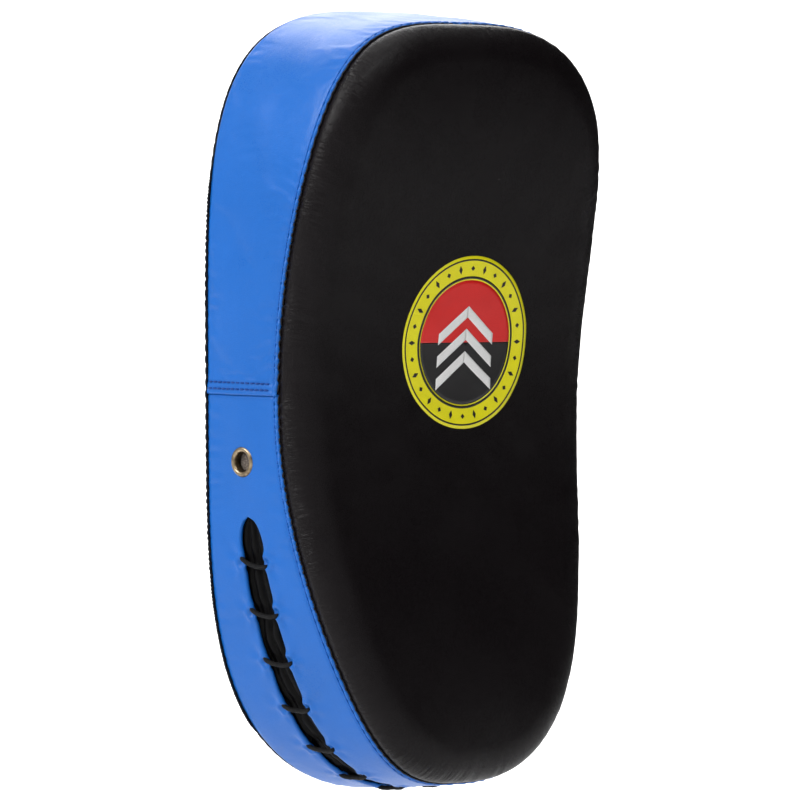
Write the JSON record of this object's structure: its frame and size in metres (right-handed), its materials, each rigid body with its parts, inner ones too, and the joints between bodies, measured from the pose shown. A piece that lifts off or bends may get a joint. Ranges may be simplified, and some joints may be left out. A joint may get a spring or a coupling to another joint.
{
  "type": "thai kick pad",
  "caption": "Curved Thai kick pad for the forearm: laced leather casing over layered foam, hook-and-loop arm straps and a swinging padded handle.",
  "frame": {"origin": "on the forearm cushion's outer face, on the pad's centre line, level with the middle of the pad's height", "axes": "+Z runs along the pad towards the hand end, +Y out of the forearm cushion on the arm side, and the striking face looks towards -Y"},
  "size_m": [0.2048, 0.1714, 0.4],
  "materials": {
    "black_leather": "satin",
    "blue_leather": "satin",
    "soft_foam": "matte",
    "dense_foam": "matte",
    "stiff_foam_board": "matte",
    "black_webbing": "matte",
    "black_cord": "matte",
    "nickel_steel": "polished",
    "antique_brass": "antique",
    "crest_film": "satin",
    "hook_and_loop": "matte"
  },
  "bodies": {
    "pad": {"strike_cover": "black_leather", "upper_gusset": "blue_leather", "lower_gusset": "blue_leather", "rear_cover": "black_leather", "crest_print": "crest_film", "strike_foam": "soft_foam", "core_foam": "dense_foam", "rear_board": "stiff_foam_board", "closure_flap": "black_webbing", "closure_lace": "black_cord", "vent_eyelets": "antique_brass", "vent_washers": "antique_brass", "forearm_cushion_cover": "black_leather", "forearm_cushion_foam": "soft_foam", "knuckle_cushion_cover": "black_leather", "knuckle_cushion_foam": "soft_foam", "left_handle_saddle": "black_leather", "right_handle_saddle": "black_leather", "saddle_rivets": "nickel_steel", "rivet_burrs": "nickel_steel", "upper_strap_band": "black_webbing", "upper_loop_patch": "hook_and_loop", "upper_strap_patch": "black_leather", "upper_ring_tab": "black_webbing", "lower_strap_band": "black_webbing", "lower_loop_patch": "hook_and_loop", "lower_strap_patch": "black_leather", "lower_ring_tab": "black_webbing"},
    "upper_ring": {"upper_ring": "nickel_steel"},
    "lower_ring": {"lower_ring": "nickel_steel"},
    "upper_tail": {"upper_strap_tail": "black_webbing", "upper_hook_patch": "hook_and_loop"},
    "lower_tail": {"lower_strap_tail": "black_webbing", "lower_hook_patch": "hook_and_loop"},
    "handle": {"handle_core": "black_webbing", "handle_grip": "black_leather", "grip_end_bands": "blue_leather"}
  },
  "joints": [
    {"name": "handle_swing", "type": "hinge", "parent": "pad", "child": "handle", "pos_m": [0, -0.0022, 0.118], "axis": [1, 0, 0], "range_deg": [-35, 35]},
    {"name": "upper_tail_peel", "type": "hinge", "parent": "pad", "child": "upper_tail", "pos_m": [0.06141, 0.01108, 0.01], "axis": [0, 0, -1], "range_deg": [0, 100]},
    {"name": "lower_tail_peel", "type": "hinge", "parent": "pad", "child": "lower_tail", "pos_m": [0.06141, 0.01108, -0.09], "axis": [0, 0, -1], "range_deg": [0, 100]},
    {"name": "upper_ring_tilt", "type": "hinge", "parent": "pad", "child": "upper_ring", "pos_m": [0.06372, -0.0049, 0.01], "axis": [0, 0, 1], "range_deg": [-6, 6]},
    {"name": "lower_ring_tilt", "type": "hinge", "parent": "pad", "child": "lower_ring", "pos_m": [0.06372, -0.0049, -0.09], "axis": [0, 0, 1], "range_deg": [-6, 6]}
  ]
}
